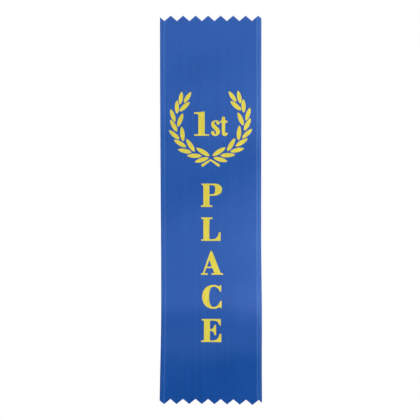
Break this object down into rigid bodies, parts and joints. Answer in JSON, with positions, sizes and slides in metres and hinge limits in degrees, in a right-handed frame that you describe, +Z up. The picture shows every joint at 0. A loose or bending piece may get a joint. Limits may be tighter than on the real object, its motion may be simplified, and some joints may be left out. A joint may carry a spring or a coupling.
{
  "type": "award ribbon",
  "caption": "Flat satin award ribbon with pinked ends and a gold foil print of a laurel wreath, a placing and a word down its middle.",
  "frame": {"origin": "on the strip's back face, on its centre line, 12 mm below the top tips, where it is pinned, tacked or stuck on", "axes": "+Z up the strip towards its top end, +X to the viewer's right, and the printed face looks towards -Y"},
  "size_m": [0.0508, 0.0199, 0.1931],
  "materials": {
    "satin": "single-face blue satin, glossy along the warp",
    "foil": "hot-stamped gold foil, brass only in colour, the weave showing through"
  },
  "bodies": {
    "root": {"ribbon": "satin", "leaf_left_outer_1": "foil", "leaf_left_outer_2": "foil", "leaf_left_outer_3": "foil", "leaf_left_outer_4": "foil", "leaf_left_outer_5": "foil", "leaf_left_middle_1": "foil", "leaf_left_middle_2": "foil", "leaf_left_middle_3": "foil", "leaf_left_middle_4": "foil", "leaf_left_inner_1": "foil", "leaf_left_inner_2": "foil", "leaf_left_inner_3": "foil", "leaf_left_inner_4": "foil", "leaf_left_inner_5": "foil", "leaf_left_tip": "foil", "leaf_right_outer_1": "foil", "leaf_right_outer_2": "foil", "leaf_right_outer_3": "foil", "leaf_right_outer_4": "foil", "leaf_right_outer_5": "foil", "leaf_right_middle_1": "foil", "leaf_right_middle_2": "foil", "leaf_right_middle_3": "foil", "leaf_right_middle_4": "foil", "leaf_right_inner_1": "foil", "leaf_right_inner_2": "foil", "leaf_right_inner_3": "foil", "leaf_right_inner_4": "foil", "leaf_right_inner_5": "foil", "leaf_right_tip": "foil", "wreath_stems": "foil", "numeral_1": "foil", "rank_s": "foil", "rank_t": "foil", "letter_P": "foil", "letter_L": "foil", "letter_A": "foil", "letter_C": "foil", "letter_E": "foil"}
  },
  "joints": []
}
